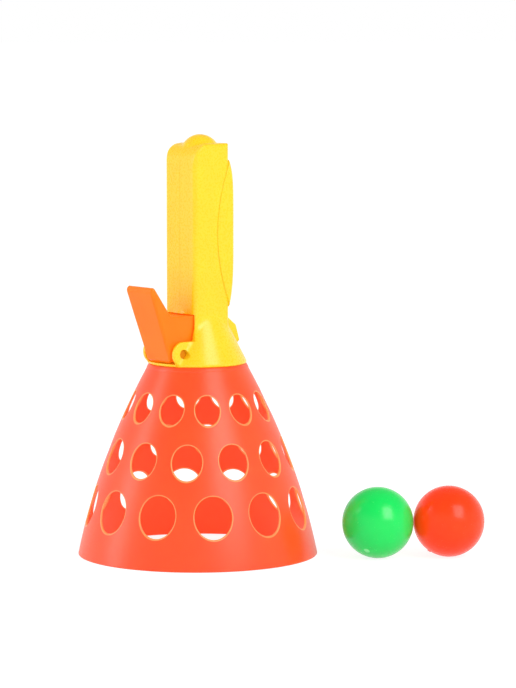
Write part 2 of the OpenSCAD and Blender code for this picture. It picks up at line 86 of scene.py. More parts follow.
# Handle: column, flange and skirt, brow and dome, palm swell, thumb fin.
HALF_X = 12.4
HALF_Y = 14.2
EDGE_R = 3.2
WALL = 1.6
FLANGE_R = 27.5
FLANGE_TOP = 109.5
SKIRT_TOP = 141.0
SKIRT_TOP_R = 11.4
SKIRT_FILLET = 1.2
TOP = 231.5
BROW_R = 11.0
BROW_EDGE_R = 0.9
BROW_FADE = 3.0
TOP_EDGE_R = 2.4
BACK_EDGE_R = 1.0
FLANGE_EDGE_R = 0.7
DOME_X = 2.0
DOME_R = 11.09
DOME_RISE = 4.9
DOME_ROOT = 6.0
DOME_FILLET = 0.5
DOME_Z = TOP + DOME_RISE - DOME_R
SWELL_Z = 181.0
SWELL_HALF = 41.5
SWELL_BULGE = 3.3
SWELL_REACH = 9.1
SWELL_PROUD = 0.8
SWELL_PAST = 1.5
SWELL_BLUNT_TOP = 6
SWELL_BLUNT_LOW = 4
SWELL_EDGE_R = 0.5
SWELL_FILLET = 0.25
FIN_HALF = 2.5
FIN_EDGE_R = 0.6
FIN_FILLET = 1.0
FIN_OUTLINE = [(10.8, 139.0), (12.4, 139.0), (25.5, 128.3), (28.1, 119.5),
               (26.6, 118.0), (17.6, 118.0), (10.8, 134.0)]
SEAM_R = 0.3

# Pin, ears, and the slot and notch that the trigger goes into.
PIVOT_X = -20.5
PIVOT_Z = 115.1
PIN_R = 2.5
EAR_R = 6.9
EAR_IN = 12.6
EAR_OUT = 14.7
EAR_END = -11.46
EAR_CORNER_R = 0.1
EAR_EDGE_R = 0.5
EAR_FILLET = 1.6
PIN_GAP_EAR = 0.02
PIN_GAP_TRIGGER = 0.08
BORE_EDGE_R = 0.15
SLOT_TOP = 136.4
NOTCH_X = -11.9
NOTCH_RISE = 6.9
NOTCH_SLOPE = 1.8
OUTSIDE = 60
SLOT_EDGE_R = 0.2
THROAT_EDGE_R = 0.3

# Trigger: tab, ledge and foot, the room inside, bosses, kicker arm and pad, rear lip.
SWING = math.radians(35)
LEDGE_Z = 136.1
TIP_Z = 153.1
TIP_T = 3.0
TIP_HALF = 12.1
LEDGE_HALF = 11.8
FOOT_HALF = 11.0
FACE_LEAN = math.radians(19.4)
SQUEEZED_X = -13.8
BOSS_R = 5.2
FOOT_UNDER = 0.15
FOOT_LOW = PIVOT_Z - BOSS_R - FOOT_UNDER
FOOT_R = 2.0
FOOT_CORNER_R = 4.5
TIP_R = 3.8
REAR_X = -9.0
TRIGGER_WALL = 1.8
TAB_ROOT = 4.0
TAB_EDGE_R = 0.4
TAB_SIDE_R = 1.5
BLOCK_EDGE_R = 0.3
BLOCK_FILLET = 0.8
TAB_FILLET = 0.5
ROOM_EDGE_R = 0.35
ROOM_TOP_R = 1.0
ROOM_CORNER_R = 0.8
CURL_TURN = math.radians(45)
BOSS_IN = 6.2
BOSS_OUT = 12.3
BOSS_FILLET = 0.4
PAD_LOW = 108.8
PAD_R = 6.0
PAD_T = 2.4
ARM_HALF = 4.0
ARM_EDGE_R = 0.7
ARM_FILLET = 0.6
ARM_TOP = 131.9
ARM_REAR_LOW = 120.0
ARM_RISE = 4.8
ARM_REAR_RISE = 5.4
ARM_INSET = 0.6
ARM_REAR_INSET = 0.9
LIP_X = -9.75
LIP_HALF = 0.75
LIP_SHARE = 0.8
LIP_RISE = 2.0

# Spring.
WIRE_R = 0.55
WIRE_GAP = 0.02
COIL_TURNS = 4
COIL_R = 3.6
COIL_HALF = 4.0
COIL_STEPS = 96
TRIGGER_LEG = 7.4
LEG_LEAN = math.radians(32)
LEG_LAP = math.radians(40)
LAP_STEPS = 8
LEG_THINNER = 0.01

# Ribs, screw posts and screw holes inside the handle.
RIB_Z = (167.0, 201.0)
RIB_HALF = 0.6
POST_R = 2.8
POST_HEAD_R = 4.2
BASKET_POST_TOP = 116.7
BASKET_DRILL_TOP = 115.2
SCREW_Z = (150.0, 184.0, 218.0)
SCREW_HOLE_R = 1.32
SCREW_PASS_R = 1.6
POCKET_R = 2.9
POCKET_Y = 11.1
SCREW_HOLE_END = -5.4
BASKET_SCREW_R = 20.6
BASKET_SCREW_TURNS = (50, 122, -122, -50)
BASKET_SCREWS = [(BASKET_SCREW_R * math.cos(math.radians(turn)),
                  BASKET_SCREW_R * math.sin(math.radians(turn))) for turn in BASKET_SCREW_TURNS]

# Balls: shares of the nub's half angle, then angles and depth of the parting line.
BALL_R = 20.0
BALL_COLUMNS = 96
NUB_R = 1.2
NUB_RISE = 0.4
NUB_SHARE = 0.9
NUB_TURNS = (0.0, 0.35, 0.6, 0.8, 1.0, 1.15)
NUB_SHOULDER = 1.5
NUB_HIGHLIGHT_R = 1.7
PARTING_SIDE = 0.03
PARTING_HALF = 0.01
PARTING_DEPTH = 0.05
ROWS_NEAR = 26
ROWS_FAR = 28


# Lattices for the meshes: where each ends, then where each stretch starts and its spacing.

BELL_OUT = (0.9, (-16.2, 0.7), (-2.1, 0.25))
BELL_STEPS = 576
BELL_UP = (108.9, (-0.9, 0.3), (1.5, 0.65), (97.0, 0.4))
HANDLE_X = (29.4, (-28.9, 0.5), (-16.0, 0.3), (-10.4, 0.7), (7.4, 0.4), (19.0, 0.6))
HANDLE_UP = (238.0, (107.2, 0.3), (111.1, 0.55), (136.9, 0.35), (141.0, 1.0),
             (217.8, 0.5), (229.1, 0.25), (233.0, 0.4))
HANDLE_OUT = (28.6, (-0.68, 0.15), (1.1, 0.35), (3.2, 0.7), (9.6, 0.3), (15.8, 0.6))
LEVER_X = (7.3, (-46.2, 0.4), (-8.0, 0.5))
LEVER_Y = (13.57, (-13.55, 0.35), (-8.0, 0.6), (8.0, 0.35))
LEVER_UP = (153.2, (107.6, 0.45), (134.0, 0.35), (140.0, 0.45), (149.0, 0.3))
PULLS = 4
LEAST_SLOPE = 0.3
MOST_PULL = 0.6


# Distance fields.

def both(a, b, r=0.0):
    """Where a and b overlap, with the edge between them rounded to radius r."""
    return np.minimum(-r, np.maximum(a, b)) + np.hypot(np.maximum(a + r, 0), np.maximum(b + r, 0))


def either(a, b, r=0.0):
    """a and b joined, with a hollow fillet of radius r between them."""
    return -both(-a, -b, r)


def cut(a, b, r=0.0):
    """a without b, with the edge of the cut rounded to radius r."""
    return both(a, -b, r)


def rect(a, b, half_a, half_b, r):
    """Rectangle with round corners about the origin of a plane."""
    qa, qb = np.abs(a) - (half_a - r), np.abs(b) - (half_b - r)
    return np.hypot(np.maximum(qa, 0), np.maximum(qb, 0)) + np.minimum(np.maximum(qa, qb), 0) - r


def outline(a, b, points):
    """Closed polygon in a plane."""
    near = np.inf
    inside = False
    for (a1, b1), (a2, b2) in zip(points, points[1:] + points[:1]):
        da, db = a2 - a1, b2 - b1
        t = np.clip(((a - a1) * da + (b - b1) * db) / (da * da + db * db), 0, 1)
        near = np.minimum(near, np.hypot(a - a1 - t * da, b - b1 - t * db))
        if db:
            crosses = ((b1 > b) != (b2 > b)) & (a < a1 + (b - b1) * da / db)
            inside = inside ^ crosses
    return np.where(inside, -near, near)


def between(a, low, high):
    """Slab from low to high."""
    return np.abs(a - (low + high) / 2) - (high - low) / 2


def spaced(end, *stretches):
    """Lattice coordinates: each stretch gives where it starts and its spacing."""
    starts = [s for s, _ in stretches] + [end]
    parts = []
    for (start, step), stop in zip(stretches, starts[1:]):
        count = max(1, round((stop - start) / step))
        parts.append(start + (stop - start) * np.arange(count) / count)
    return np.append(np.concatenate(parts), end)


def net(field, us, vs, ws, place=None, wrap=False):
    """Points, quads and normals of a field's zero surface, on a lattice of three coordinates.

    place maps lattice coordinates to x, y, z. With wrap, vs closes on itself.
    """
    place = place or (lambda u, v, w: (u, v, w))
    grid = [us.reshape(-1, 1, 1), vs.reshape(1, -1, 1), ws.reshape(1, 1, -1)]
    level = np.asarray(field(*place(*grid)))
    level = np.broadcast_to(level, (len(us), len(vs), len(ws)))
    if wrap:
        level = np.concatenate([level, level[:, :1]], axis=1)
        vs = np.append(vs, 2 * vs[-1] - vs[-2])
    coords = (us, vs, ws)
    inside = level < 0
    cells_n = [n - 1 for n in level.shape]
    filled = sum(inside[i:i + cells_n[0], j:j + cells_n[1], k:k + cells_n[2]].astype(np.int8)
                 for i, j, k in product((0, 1), repeat=3))
    cells = np.argwhere((filled > 0) & (filled < 8))
    number = np.full(cells_n, -1)
    number[tuple(cells.T)] = np.arange(len(cells))

    total = np.zeros((len(cells), 3))
    hits = np.zeros(len(cells))
    for axis in range(3):
        b, c = (axis + 1) % 3, (axis + 2) % 3
        for db, dc in product((0, 1), repeat=2):
            low = cells.copy()
            low[:, b] += db
            low[:, c] += dc
            high = low.copy()
            high[:, axis] += 1
            f_low, f_high = level[tuple(low.T)], level[tuple(high.T)]
            hit = (f_low < 0) != (f_high < 0)
            t = f_low[hit] / (f_low[hit] - f_high[hit])
            for d in range(3):
                at = coords[d][low[hit, d]]
                total[hit, d] += at + (t * (coords[d][high[hit, d]] - at) if d == axis else 0)
            hits[hit] += 1
    total /= hits[:, None]

    quads = []
    for axis in range(3):
        b, c = (axis + 1) % 3, (axis + 2) % 3
        change = np.diff(inside.astype(np.int8), axis=axis)
        edges = np.argwhere(change != 0)
        keep = np.ones(len(edges), bool)
        for d in (b, c):
            keep &= edges[:, d] < cells_n[d]
            if not (wrap and d == 1):
                keep &= edges[:, d] >= 1
        edges = edges[keep]
        sign = change[tuple(edges.T)]
        ring = []
        for db, dc in ((-1, -1), (0, -1), (0, 0), (-1, 0)):
            cell = edges.copy()
            cell[:, b] += db
            cell[:, c] += dc
            cell[:, 1] %= cells_n[1]
            ring.append(number[tuple(cell.T)])
        ring = np.stack(ring, axis=1)
        quads.append(np.where(sign[:, None] < 0, ring, ring[:, ::-1]))
    quads = np.concatenate(quads)

    points = np.stack(np.broadcast_arrays(*place(*total.T)))
    for _ in range(PULLS):
        slope = gradient(field, points)
        pull = field(*points) / np.maximum((slope ** 2).sum(0), LEAST_SLOPE)
        points = points - slope * np.clip(pull, -MOST_PULL, MOST_PULL)
    slope = gradient(field, points)
    return points.T, quads, (slope / np.linalg.norm(slope, axis=0)).T


def gradient(field, points, h=0.02):
    """Slope of a field at points, from steps of h to both sides."""
    shift = np.eye(3)[:, :, None] * h
    return np.stack([(field(*(points + s)) - field(*(points - s))) / (2 * h) for s in shift])


# Pieces.

def piece(name, points, faces, material, body, nodes, normals=None):
    """Mesh object from points in millimetres that rides on a body and stands for CAD nodes."""
    mesh = bpy.data.meshes.new(name)
    mesh.from_pydata((np.asarray(points) * MM).tolist(), [], [list(f) for f in faces])
    mesh.update()
    mesh.shade_smooth()
    if normals is not None:
        mesh.normals_split_custom_set_from_vertices(np.asarray(normals).tolist())
    mesh.materials.append(material)
    obj = bpy.data.objects.new(name, mesh)
    bpy.context.scene.collection.objects.link(obj)
    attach(obj, body)
    if nodes:
        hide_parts(*nodes)
    return obj


def side_r(z):
    """Outside radius of the basket at a height."""
    t = z / BASKET_H
    return MOUTH_R + (NECK_R - MOUTH_R) * t + 4 * SIDE_BOW * t * (1 - t)


def basket_field(x, y, z):
    """Bell with its deck and seat ring, less three rows of dipping round holes."""
    r = np.hypot(x, y)
    angle = np.arctan2(y, x)
    side = SIDE_STEEP * (r - side_r(z))
    bell = np.maximum(side, -side - SIDE_STEEP * BASKET_WALL)
    bell = both(bell, -z, MOUTH_EDGE_R)
    deck = np.maximum(side, DECK_LOW - z)
    ring = both(r - RING_R, RING_LOW - z, MOUTH_EDGE_R)
    form = either(either(bell, deck, DECK_FILLET), ring, RING_FILLET)
    form = both(form, THROAT_R - r, MOUTH_EDGE_R)
    form = both(form, z - BASKET_H, BASKET_TOP_R)
    pitch = 2 * math.pi / HOLES
    for row_z, width, turn in zip(ROW_Z, HOLE_W, ROW_TURN):
        near = np.mod(angle - math.radians(turn) + pitch / 2, pitch) - pitch / 2
        out, up = r * np.cos(near) - side_r(row_z), z - row_z
        across = out * math.sin(HOLE_DIP) + up * math.cos(HOLE_DIP)
        form = cut(form, np.hypot(r * np.sin(near), across) - width / 2, HOLE_EDGE_R)
    for sx, sy in BASKET_SCREWS:
        form = cut(form, np.hypot(x - sx, y - sy) - SCREW_PASS_R, DRILL_EDGE_R)
    return form


def grip_field(x, y, z):
    """Straight handle, flared skirt and palm swell, solid."""
    column = rect(x, y, HALF_X, HALF_Y, EDGE_R)
    brow = both(-x - HALF_X, z - TOP, BROW_R)
    crisp = BROW_EDGE_R * np.clip((z - TOP + BROW_R) / BROW_FADE, 0, 1)
    column = both(column, brow, crisp)
    column = np.maximum(column, both(x - HALF_X, z - TOP, BACK_EDGE_R))
    column = np.maximum(column, both(np.abs(y) - HALF_Y, z - TOP, TOP_EDGE_R))

    slope = (FLANGE_R - SKIRT_TOP_R) / (SKIRT_TOP - FLANGE_TOP)
    skirt_r = FLANGE_R - slope * np.maximum(z - FLANGE_TOP, 0)
    skirt = (np.hypot(x, y) - skirt_r) * math.cos(math.atan(slope))
    skirt = np.maximum(skirt, z - SKIRT_TOP)
    grip = both(either(column, skirt, SKIRT_FILLET), BASKET_H - z, FLANGE_EDGE_R)

    along = np.clip((z - SWELL_Z) / SWELL_HALF, -SWELL_PAST, SWELL_PAST)
    blunt = 1 - np.abs(along) ** np.where(along > 0, SWELL_BLUNT_TOP, SWELL_BLUNT_LOW)
    front = HALF_X - SWELL_REACH * (1 - along ** 2)
    back = HALF_X + SWELL_BULGE * np.maximum(blunt, -1)
    deep = front - 2 * EDGE_R
    swell = rect(x - (deep + back) / 2, y, (back - deep) / 2, HALF_Y + SWELL_PROUD, EDGE_R)
    swell = both(swell, front - x, SWELL_EDGE_R)
    return either(grip, swell, SWELL_FILLET)


def ears_field(x, y, z):
    """The two ear plates, round about the pin."""
    disc = np.hypot(x - PIVOT_X, z - PIVOT_Z) - EAR_R
    mid_x, half_x = (PIVOT_X + EAR_END) / 2, (EAR_END - PIVOT_X) / 2
    mid_z, half_z = (BASKET_H + PIVOT_Z + EAR_R) / 2, (PIVOT_Z + EAR_R - BASKET_H) / 2
    plate = np.minimum(disc, rect(x - mid_x, z - mid_z, half_x, half_z,
                                  EAR_CORNER_R))
    plate = both(plate, between(np.abs(y), EAR_IN, EAR_OUT), EAR_EDGE_R)
    return np.maximum(plate, BASKET_H - z)


def handle_field(x, y, z):
    """Whole handle: shell, dome, fin, ears, bosses and ribs, less the slot, notch and holes."""
    grip = grip_field(x, y, z)
    dome = np.sqrt((x - DOME_X) ** 2 + y ** 2 + (z - DOME_Z) ** 2) - DOME_R
    dome = np.maximum(dome, TOP - DOME_ROOT - z)
    fin = both(outline(x, z, FIN_OUTLINE), np.abs(y) - FIN_HALF, FIN_EDGE_R)
    outside = either(either(grip, dome, DOME_FILLET), fin, FIN_FILLET)

    hollow = both(grip + WALL, FLANGE_TOP - z)
    shell = cut(outside, hollow)
    ribs = np.minimum(*(between(z, mid - RIB_HALF, mid + RIB_HALF) for mid in RIB_Z))
    posts = np.inf
    drills = np.inf
    for up in SCREW_Z:
        off = np.hypot(x, z - up)
        posts = np.minimum(posts, off - np.where(y < 0, POST_R, POST_HEAD_R))
        drill = np.where(y < 0, np.maximum(off - SCREW_HOLE_R, SCREW_HOLE_END - y), off - SCREW_PASS_R)
        drills = np.minimum(drills, np.minimum(drill, np.maximum(off - POCKET_R, POCKET_Y - y)))
    for sx, sy in BASKET_SCREWS:
        off = np.hypot(x - sx, y - sy)
        posts = np.minimum(posts, np.maximum(off - POST_R, z - BASKET_POST_TOP))
        drills = np.minimum(drills, np.maximum(off - SCREW_HOLE_R, z - BASKET_DRILL_TOP))
    inner = np.maximum(np.minimum(ribs, posts), grip + WALL / 2)
    shell = np.minimum(shell, np.maximum(inner, BASKET_H - z))

    shell = either(shell, ears_field(x, y, z), EAR_FILLET)
    slot = np.maximum(np.maximum(np.abs(y) - EAR_IN, x + HALF_X - EDGE_R),
                      between(z, FLANGE_TOP, SLOT_TOP))
    ear_top = PIVOT_Z + EAR_R
    notch = outline(x, z, [(-OUTSIDE, SLOT_TOP), (NOTCH_X, SLOT_TOP),
                           (NOTCH_X, ear_top + NOTCH_RISE),
                           (NOTCH_X - NOTCH_SLOPE, ear_top), (-OUTSIDE, ear_top)])
    throat = np.maximum(np.hypot(x, y) - THROAT_R, z - FLANGE_TOP - 1)
    pin = np.hypot(x - PIVOT_X, z - PIVOT_Z) - PIN_R - PIN_GAP_EAR
    shell = cut(shell, slot, SLOT_EDGE_R)
    shell = cut(shell, notch, SLOT_EDGE_R)
    shell = cut(shell, throat, THROAT_EDGE_R)
    shell = cut(shell, pin, BORE_EDGE_R)
    return cut(shell, drills, DRILL_EDGE_R)


def left_field(x, y, z):
    return both(handle_field(x, y, z), y, SEAM_R)


def right_field(x, y, z):
    return both(handle_field(x, y, z), -y, SEAM_R)


def trigger_field(x, y, z):
    """Tab with its webs, block under the ledge, bosses, kicker arm and pad."""
    lean_c, lean_t = math.cos(FACE_LEAN), math.tan(FACE_LEAN)
    edge_0 = PIVOT_X + (SQUEEZED_X - PIVOT_X) / math.cos(SWING)
    edge_tip = edge_0 - (TIP_Z - PIVOT_Z) * math.tan(SWING)
    face = (edge_tip - TIP_T + (TIP_Z - z) * lean_t - x) * lean_c
    inner = (x - edge_0 + (z - PIVOT_Z) * math.tan(SWING)) * math.cos(SWING)
    nose = both(face, FOOT_LOW - z, FOOT_R)
    half = np.where(z > LEDGE_Z, LEDGE_HALF + (TIP_HALF - LEDGE_HALF) * (z - LEDGE_Z)
                    / (TIP_Z - LEDGE_Z), LEDGE_HALF + (FOOT_HALF - LEDGE_HALF)
                    * (LEDGE_Z - z) / (LEDGE_Z - FOOT_LOW))
    wide = np.abs(y) - half
    front = both(both(nose, z - TIP_Z, TIP_R), wide, TAB_SIDE_R)
    front = np.maximum(front, both(FOOT_LOW - z, wide, FOOT_CORNER_R))
    tab = np.maximum(both(z - TIP_Z, inner, TAB_EDGE_R), LEDGE_Z - TAB_ROOT - z)
    slant = (x - PIVOT_X) * math.sin(SWING) - (z - PIVOT_Z) * math.cos(SWING) - BOSS_R
    low = both(FOOT_LOW - z, slant, BOSS_R)
    block = both(both(z - LEDGE_Z, x - REAR_X, BLOCK_EDGE_R), low, BLOCK_EDGE_R)
    body = both(front, either(tab, block, BLOCK_FILLET), TAB_FILLET)

    channel = both(face + TRIGGER_WALL, z - TIP_Z + TRIGGER_WALL, ROOM_TOP_R)
    channel = np.maximum(channel, LEDGE_Z - z)
    foot_x = edge_tip - TIP_T + (TIP_Z - FOOT_LOW - FOOT_R) * lean_t + FOOT_R
    curl_end = foot_x - (FOOT_R - TRIGGER_WALL) * math.cos(CURL_TURN)
    curl = np.minimum(nose + TRIGGER_WALL, curl_end - x)
    under = both(face + TRIGGER_WALL, z - LEDGE_Z + TRIGGER_WALL, ROOM_CORNER_R)
    under = np.maximum(under, curl)
    under = np.maximum(under, x - REAR_X + TRIGGER_WALL)
    room = both(np.minimum(channel, under), wide + TRIGGER_WALL, ROOM_CORNER_R)
    body = cut(body, room, ROOM_EDGE_R)

    about_pin = np.hypot(x - PIVOT_X, z - PIVOT_Z)
    boss = both(about_pin - BOSS_R, between(np.abs(y), BOSS_IN, BOSS_OUT), BLOCK_EDGE_R)
    arm = outline(x, z, [(REAR_X - TRIGGER_WALL, ARM_TOP), (REAR_X, ARM_TOP),
                         (PAD_R, PAD_LOW + ARM_RISE),
                         (PAD_R - ARM_INSET, PAD_LOW + ARM_INSET),
                         (ARM_INSET - PAD_R, PAD_LOW + ARM_INSET),
                         (REAR_X - ARM_REAR_INSET, PAD_LOW + ARM_REAR_RISE),
                         (REAR_X - TRIGGER_WALL, ARM_REAR_LOW)])
    arm = both(arm, np.abs(y) - ARM_HALF, ARM_EDGE_R)
    pad = both(np.hypot(x, y) - PAD_R, between(z, PAD_LOW, PAD_LOW + PAD_T), ARM_EDGE_R)
    lip = both(rect(x - LIP_X, y, LIP_HALF, LIP_SHARE * LEDGE_HALF, BLOCK_EDGE_R),
               between(z, LEDGE_Z - TRIGGER_WALL, LEDGE_Z + LIP_RISE), BLOCK_EDGE_R)
    body = either(either(body, boss, BOSS_FILLET), either(arm, pad, ARM_FILLET), ARM_FILLET)
    body = np.minimum(body, lip)
    return cut(body, about_pin - PIN_R - PIN_GAP_TRIGGER, BORE_EDGE_R)


# Materials.

DRIFT_SCALE = 28
DRIFT_TWIST = 0.6
GRAIN_SCALE = 900
GRAIN_DETAIL = 4
NOISE_DETAIL = 3
NOISE_LOW = 0.3
NOISE_HIGH = 0.7
BUMP_STRENGTH = 0.35
PLASTIC_IOR = 1.49
GLOW_REACH = (1.0, 0.45, 0.2)
HIGHLIGHT_CORE = 0.6
FAR_AWAY = 1.0e3
WALL_MARGIN = 0.1
STEEL_SCALE = 700
STEEL_DARK = (0.36, 0.36, 0.38, 1)
STEEL_PALE = (0.72, 0.72, 0.74, 1)
STEEL_SMOOTHEST = 0.7
STEEL_ROUGHEST = 1.4
STEEL_BUMP = 0.3
STEEL_GRAIN = 0.02


def srgb(r, g, b):
    """8-bit colour as seen, turned into the linear values that a shader takes."""
    values = [c / 255 for c in (r, g, b)]
    return [c / 12.92 if c <= 0.04045 else ((c + 0.055) / 1.055) ** 2.4 for c in values]


def plastic(name, color, deep, rough, glow=0.0, spread=2.5, grain=0.03, speck=0.15, sheen=0.5):
    """Moulded plastic: slow colour drift, fine surface texture and uneven gloss.

    color and deep are the drift's two ends, glow is the light that spreads inside the wall,
    and sheen is how strongly the surface mirrors: 0.5 is what its IOR gives.
    """
    mat = bpy.data.materials.new(name)
    mat.use_nodes = True
    nodes, links = mat.node_tree.nodes, mat.node_tree.links
    shader = nodes["Principled BSDF"]
    where = nodes.new("ShaderNodeTexCoord").outputs["Object"]

    flow = nodes.new("ShaderNodeTexNoise")
    flow.inputs["Scale"].default_value = DRIFT_SCALE
    flow.inputs["Detail"].default_value = NOISE_DETAIL
    flow.inputs["Distortion"].default_value = DRIFT_TWIST
    tint = nodes.new("ShaderNodeValToRGB")
    tint.color_ramp.elements[0].position = NOISE_LOW
    tint.color_ramp.elements[0].color = (*srgb(*deep), 1)
    tint.color_ramp.elements[1].position = NOISE_HIGH
    tint.color_ramp.elements[1].color = (*srgb(*color), 1)

    fine = nodes.new("ShaderNodeTexNoise")
    fine.inputs["Scale"].default_value = GRAIN_SCALE
    fine.inputs["Detail"].default_value = GRAIN_DETAIL
    gloss = nodes.new("ShaderNodeMapRange")
    gloss.inputs["From Min"].default_value = NOISE_LOW
    gloss.inputs["From Max"].default_value = NOISE_HIGH
    gloss.inputs["To Min"].default_value = rough - speck * rough
    gloss.inputs["To Max"].default_value = rough + speck * rough
    bump = nodes.new("ShaderNodeBump")
    bump.inputs["Strength"].default_value = BUMP_STRENGTH
    bump.inputs["Distance"].default_value = grain * MM

    for source, target in (
            (where, flow.inputs["Vector"]), (where, fine.inputs["Vector"]),
            (flow.outputs["Fac"], tint.inputs["Fac"]),
            (tint.outputs["Color"], shader.inputs["Base Color"]),
            (fine.outputs["Fac"], gloss.inputs["Value"]),
            (gloss.outputs["Result"], shader.inputs["Roughness"]),
            (fine.outputs["Fac"], bump.inputs["Height"]),
            (bump.outputs["Normal"], shader.inputs["Normal"])):
        links.new(source, target)
    shader.inputs["IOR"].default_value = PLASTIC_IOR
    shader.inputs["Specular IOR Level"].default_value = sheen
    if glow:
        shader.inputs["Subsurface Weight"].default_value = glow
        shader.inputs["Subsurface Radius"].default_value = GLOW_REACH
        shader.inputs["Subsurface Scale"].default_value = spread * MM
    return mat


def paint_glow(mat, strength):
    """Painted glow: the base colour is also emitted, standing for light that comes through a thin
    closed shell; it brightens all sides alike, and shows most on the shaded side.
    """
    shader = mat.node_tree.nodes["Principled BSDF"]
    base = shader.inputs["Base Color"].links[0].from_socket
    mat.node_tree.links.new(base, shader.inputs["Emission Color"])
    shader.inputs["Emission Strength"].default_value = strength


def paint_nub_highlight(mat, at, radius, color):
    """Painted highlight: a paler spot on a moulding nub; the paler colour also goes into the painted
    glow.
    """
    nodes, links = mat.node_tree.nodes, mat.node_tree.links
    shader = nodes["Principled BSDF"]
    base = shader.inputs["Base Color"].links[0].from_socket
    far = nodes.new("ShaderNodeVectorMath")
    far.operation = "DISTANCE"
    links.new(nodes.new("ShaderNodeTexCoord").outputs["Object"], far.inputs[0])
    far.inputs[1].default_value = at * MM
    fade = nodes.new("ShaderNodeMapRange")
    fade.interpolation_type = "SMOOTHSTEP"
    fade.inputs["From Min"].default_value = radius * MM
    fade.inputs["From Max"].default_value = HIGHLIGHT_CORE * radius * MM
    links.new(far.outputs["Value"], fade.inputs["Value"])
    for socket in (shader.inputs["Base Color"], shader.inputs["Emission Color"]):
        mix = nodes.new("ShaderNodeMix")
        mix.data_type = "RGBA"
        links.new(fade.outputs["Result"], mix.inputs["Factor"])
        links.new(base, mix.inputs["A"])
        mix.inputs["B"].default_value = (*srgb(*color), 1)
        links.new(mix.outputs["Result"], socket)


def paint_rim_highlight_and_glow(mat, color, strength):
    """Basket wall: a painted highlight as a paler line round each hole, and a painted glow on the
    inside that stands for light coming through the thin wall.
    """
    nodes, links = mat.node_tree.nodes, mat.node_tree.links
    shader = nodes["Principled BSDF"]

    def calc(operation, *values):
        node = nodes.new("ShaderNodeMath")
        node.operation = operation
        for socket, value in zip(node.inputs, values):
            if isinstance(value, (int, float)):
                socket.default_value = value
            else:
                links.new(value, socket)
        return node.outputs[0]

    def root_sum(a, b):
        return calc("SQRT", calc("ADD", calc("MULTIPLY", a, a), calc("MULTIPLY", b, b)))

    where = nodes.new("ShaderNodeSeparateXYZ")
    links.new(nodes.new("ShaderNodeTexCoord").outputs["Object"], where.inputs[0])
    x, y, z = (calc("DIVIDE", where.outputs[axis], MM) for axis in "XYZ")
    r, angle = root_sum(x, y), calc("ARCTAN2", y, x)
    pitch = 2 * math.pi / HOLES
    nearest = FAR_AWAY
    for row_z, width, turn in zip(ROW_Z, HOLE_W, ROW_TURN):
        from_seam = calc("SUBTRACT", angle, math.radians(turn) - 0.5 * pitch)
        near = calc("SUBTRACT", calc("FLOORED_MODULO", from_seam, pitch), 0.5 * pitch)
        out = calc("SUBTRACT", calc("MULTIPLY", r, calc("COSINE", near)), side_r(row_z))
        up = calc("SUBTRACT", z, row_z)
        across = calc("ADD", calc("MULTIPLY", out, math.sin(HOLE_DIP)),
                      calc("MULTIPLY", up, math.cos(HOLE_DIP)))
        far = root_sum(calc("MULTIPLY", r, calc("SINE", near)), across)
        nearest = calc("MINIMUM", calc("SUBTRACT", far, 0.5 * width), nearest)
    # Painted highlight: a paler colour near each hole's edge.
    fade = nodes.new("ShaderNodeMapRange")
    fade.interpolation_type = "SMOOTHSTEP"
    fade.inputs["From Min"].default_value = RIM_HIGHLIGHT
    fade.inputs["From Max"].default_value = 0.5 * RIM_HIGHLIGHT
    links.new(nearest, fade.inputs["Value"])
    mix = nodes.new("ShaderNodeMix")
    mix.data_type = "RGBA"
    base = shader.inputs["Base Color"].links[0].from_socket
    links.new(fade.outputs["Result"], mix.inputs["Factor"])
    links.new(base, mix.inputs["A"])
    mix.inputs["B"].default_value = (*srgb(*color), 1)
    links.new(mix.outputs["Result"], shader.inputs["Base Color"])

    # Painted glow: the inner side of the wall emits its base colour, more of it deeper into the wall.
    t = calc("DIVIDE", z, BASKET_H)
    cone = calc("ADD", calc("MULTIPLY", t, NECK_R - MOUTH_R), MOUTH_R)
    bow = calc("MULTIPLY", calc("MULTIPLY", t, calc("SUBTRACT", 1.0, t)), 4 * SIDE_BOW)
    depth = calc("SUBTRACT", calc("ADD", cone, bow), r)
    inside = nodes.new("ShaderNodeMapRange")
    inside.inputs["From Min"].default_value = GLOW_DEPTH
    inside.inputs["From Max"].default_value = BASKET_WALL - WALL_MARGIN
    inside.inputs["To Max"].default_value = strength
    links.new(depth, inside.inputs["Value"])
    links.new(inside.outputs["Result"], shader.inputs["Emission Strength"])
    links.new(base, shader.inputs["Emission Color"])


def steel(name, rough, turn):
    """Drawn or plated steel: fine lines along its length and uneven gloss."""
    mat = bpy.data.materials.new(name)
    mat.use_nodes = True
    nodes, links = mat.node_tree.nodes, mat.node_tree.links
    shader = nodes["Principled BSDF"]
    where = nodes.new("ShaderNodeTexCoord")
    stretch = nodes.new("ShaderNodeMapping")
    stretch.inputs["Scale"].default_value = turn
    lines = nodes.new("ShaderNodeTexNoise")
    lines.inputs["Scale"].default_value = STEEL_SCALE
    lines.inputs["Detail"].default_value = NOISE_DETAIL
    tint = nodes.new("ShaderNodeValToRGB")
    tint.color_ramp.elements[0].color = STEEL_DARK
    tint.color_ramp.elements[1].color = STEEL_PALE
    gloss = nodes.new("ShaderNodeMapRange")
    gloss.inputs["To Min"].default_value = rough * STEEL_SMOOTHEST
    gloss.inputs["To Max"].default_value = rough * STEEL_ROUGHEST
    bump = nodes.new("ShaderNodeBump")
    bump.inputs["Strength"].default_value = STEEL_BUMP
    bump.inputs["Distance"].default_value = STEEL_GRAIN * MM
    for source, target in (
            (where.outputs["Object"], stretch.inputs["Vector"]),
            (stretch.outputs["Vector"], lines.inputs["Vector"]),
            (lines.outputs["Fac"], tint.inputs["Fac"]),
            (tint.outputs["Color"], shader.inputs["Base Color"]),
            (lines.outputs["Fac"], gloss.inputs["Value"]),
            (gloss.outputs["Result"], shader.inputs["Roughness"]),
            (lines.outputs["Fac"], bump.inputs["Height"]),
            (bump.outputs["Normal"], shader.inputs["Normal"])):
        links.new(source, target)
    shader.inputs["Metallic"].default_value = 1.0
    return mat


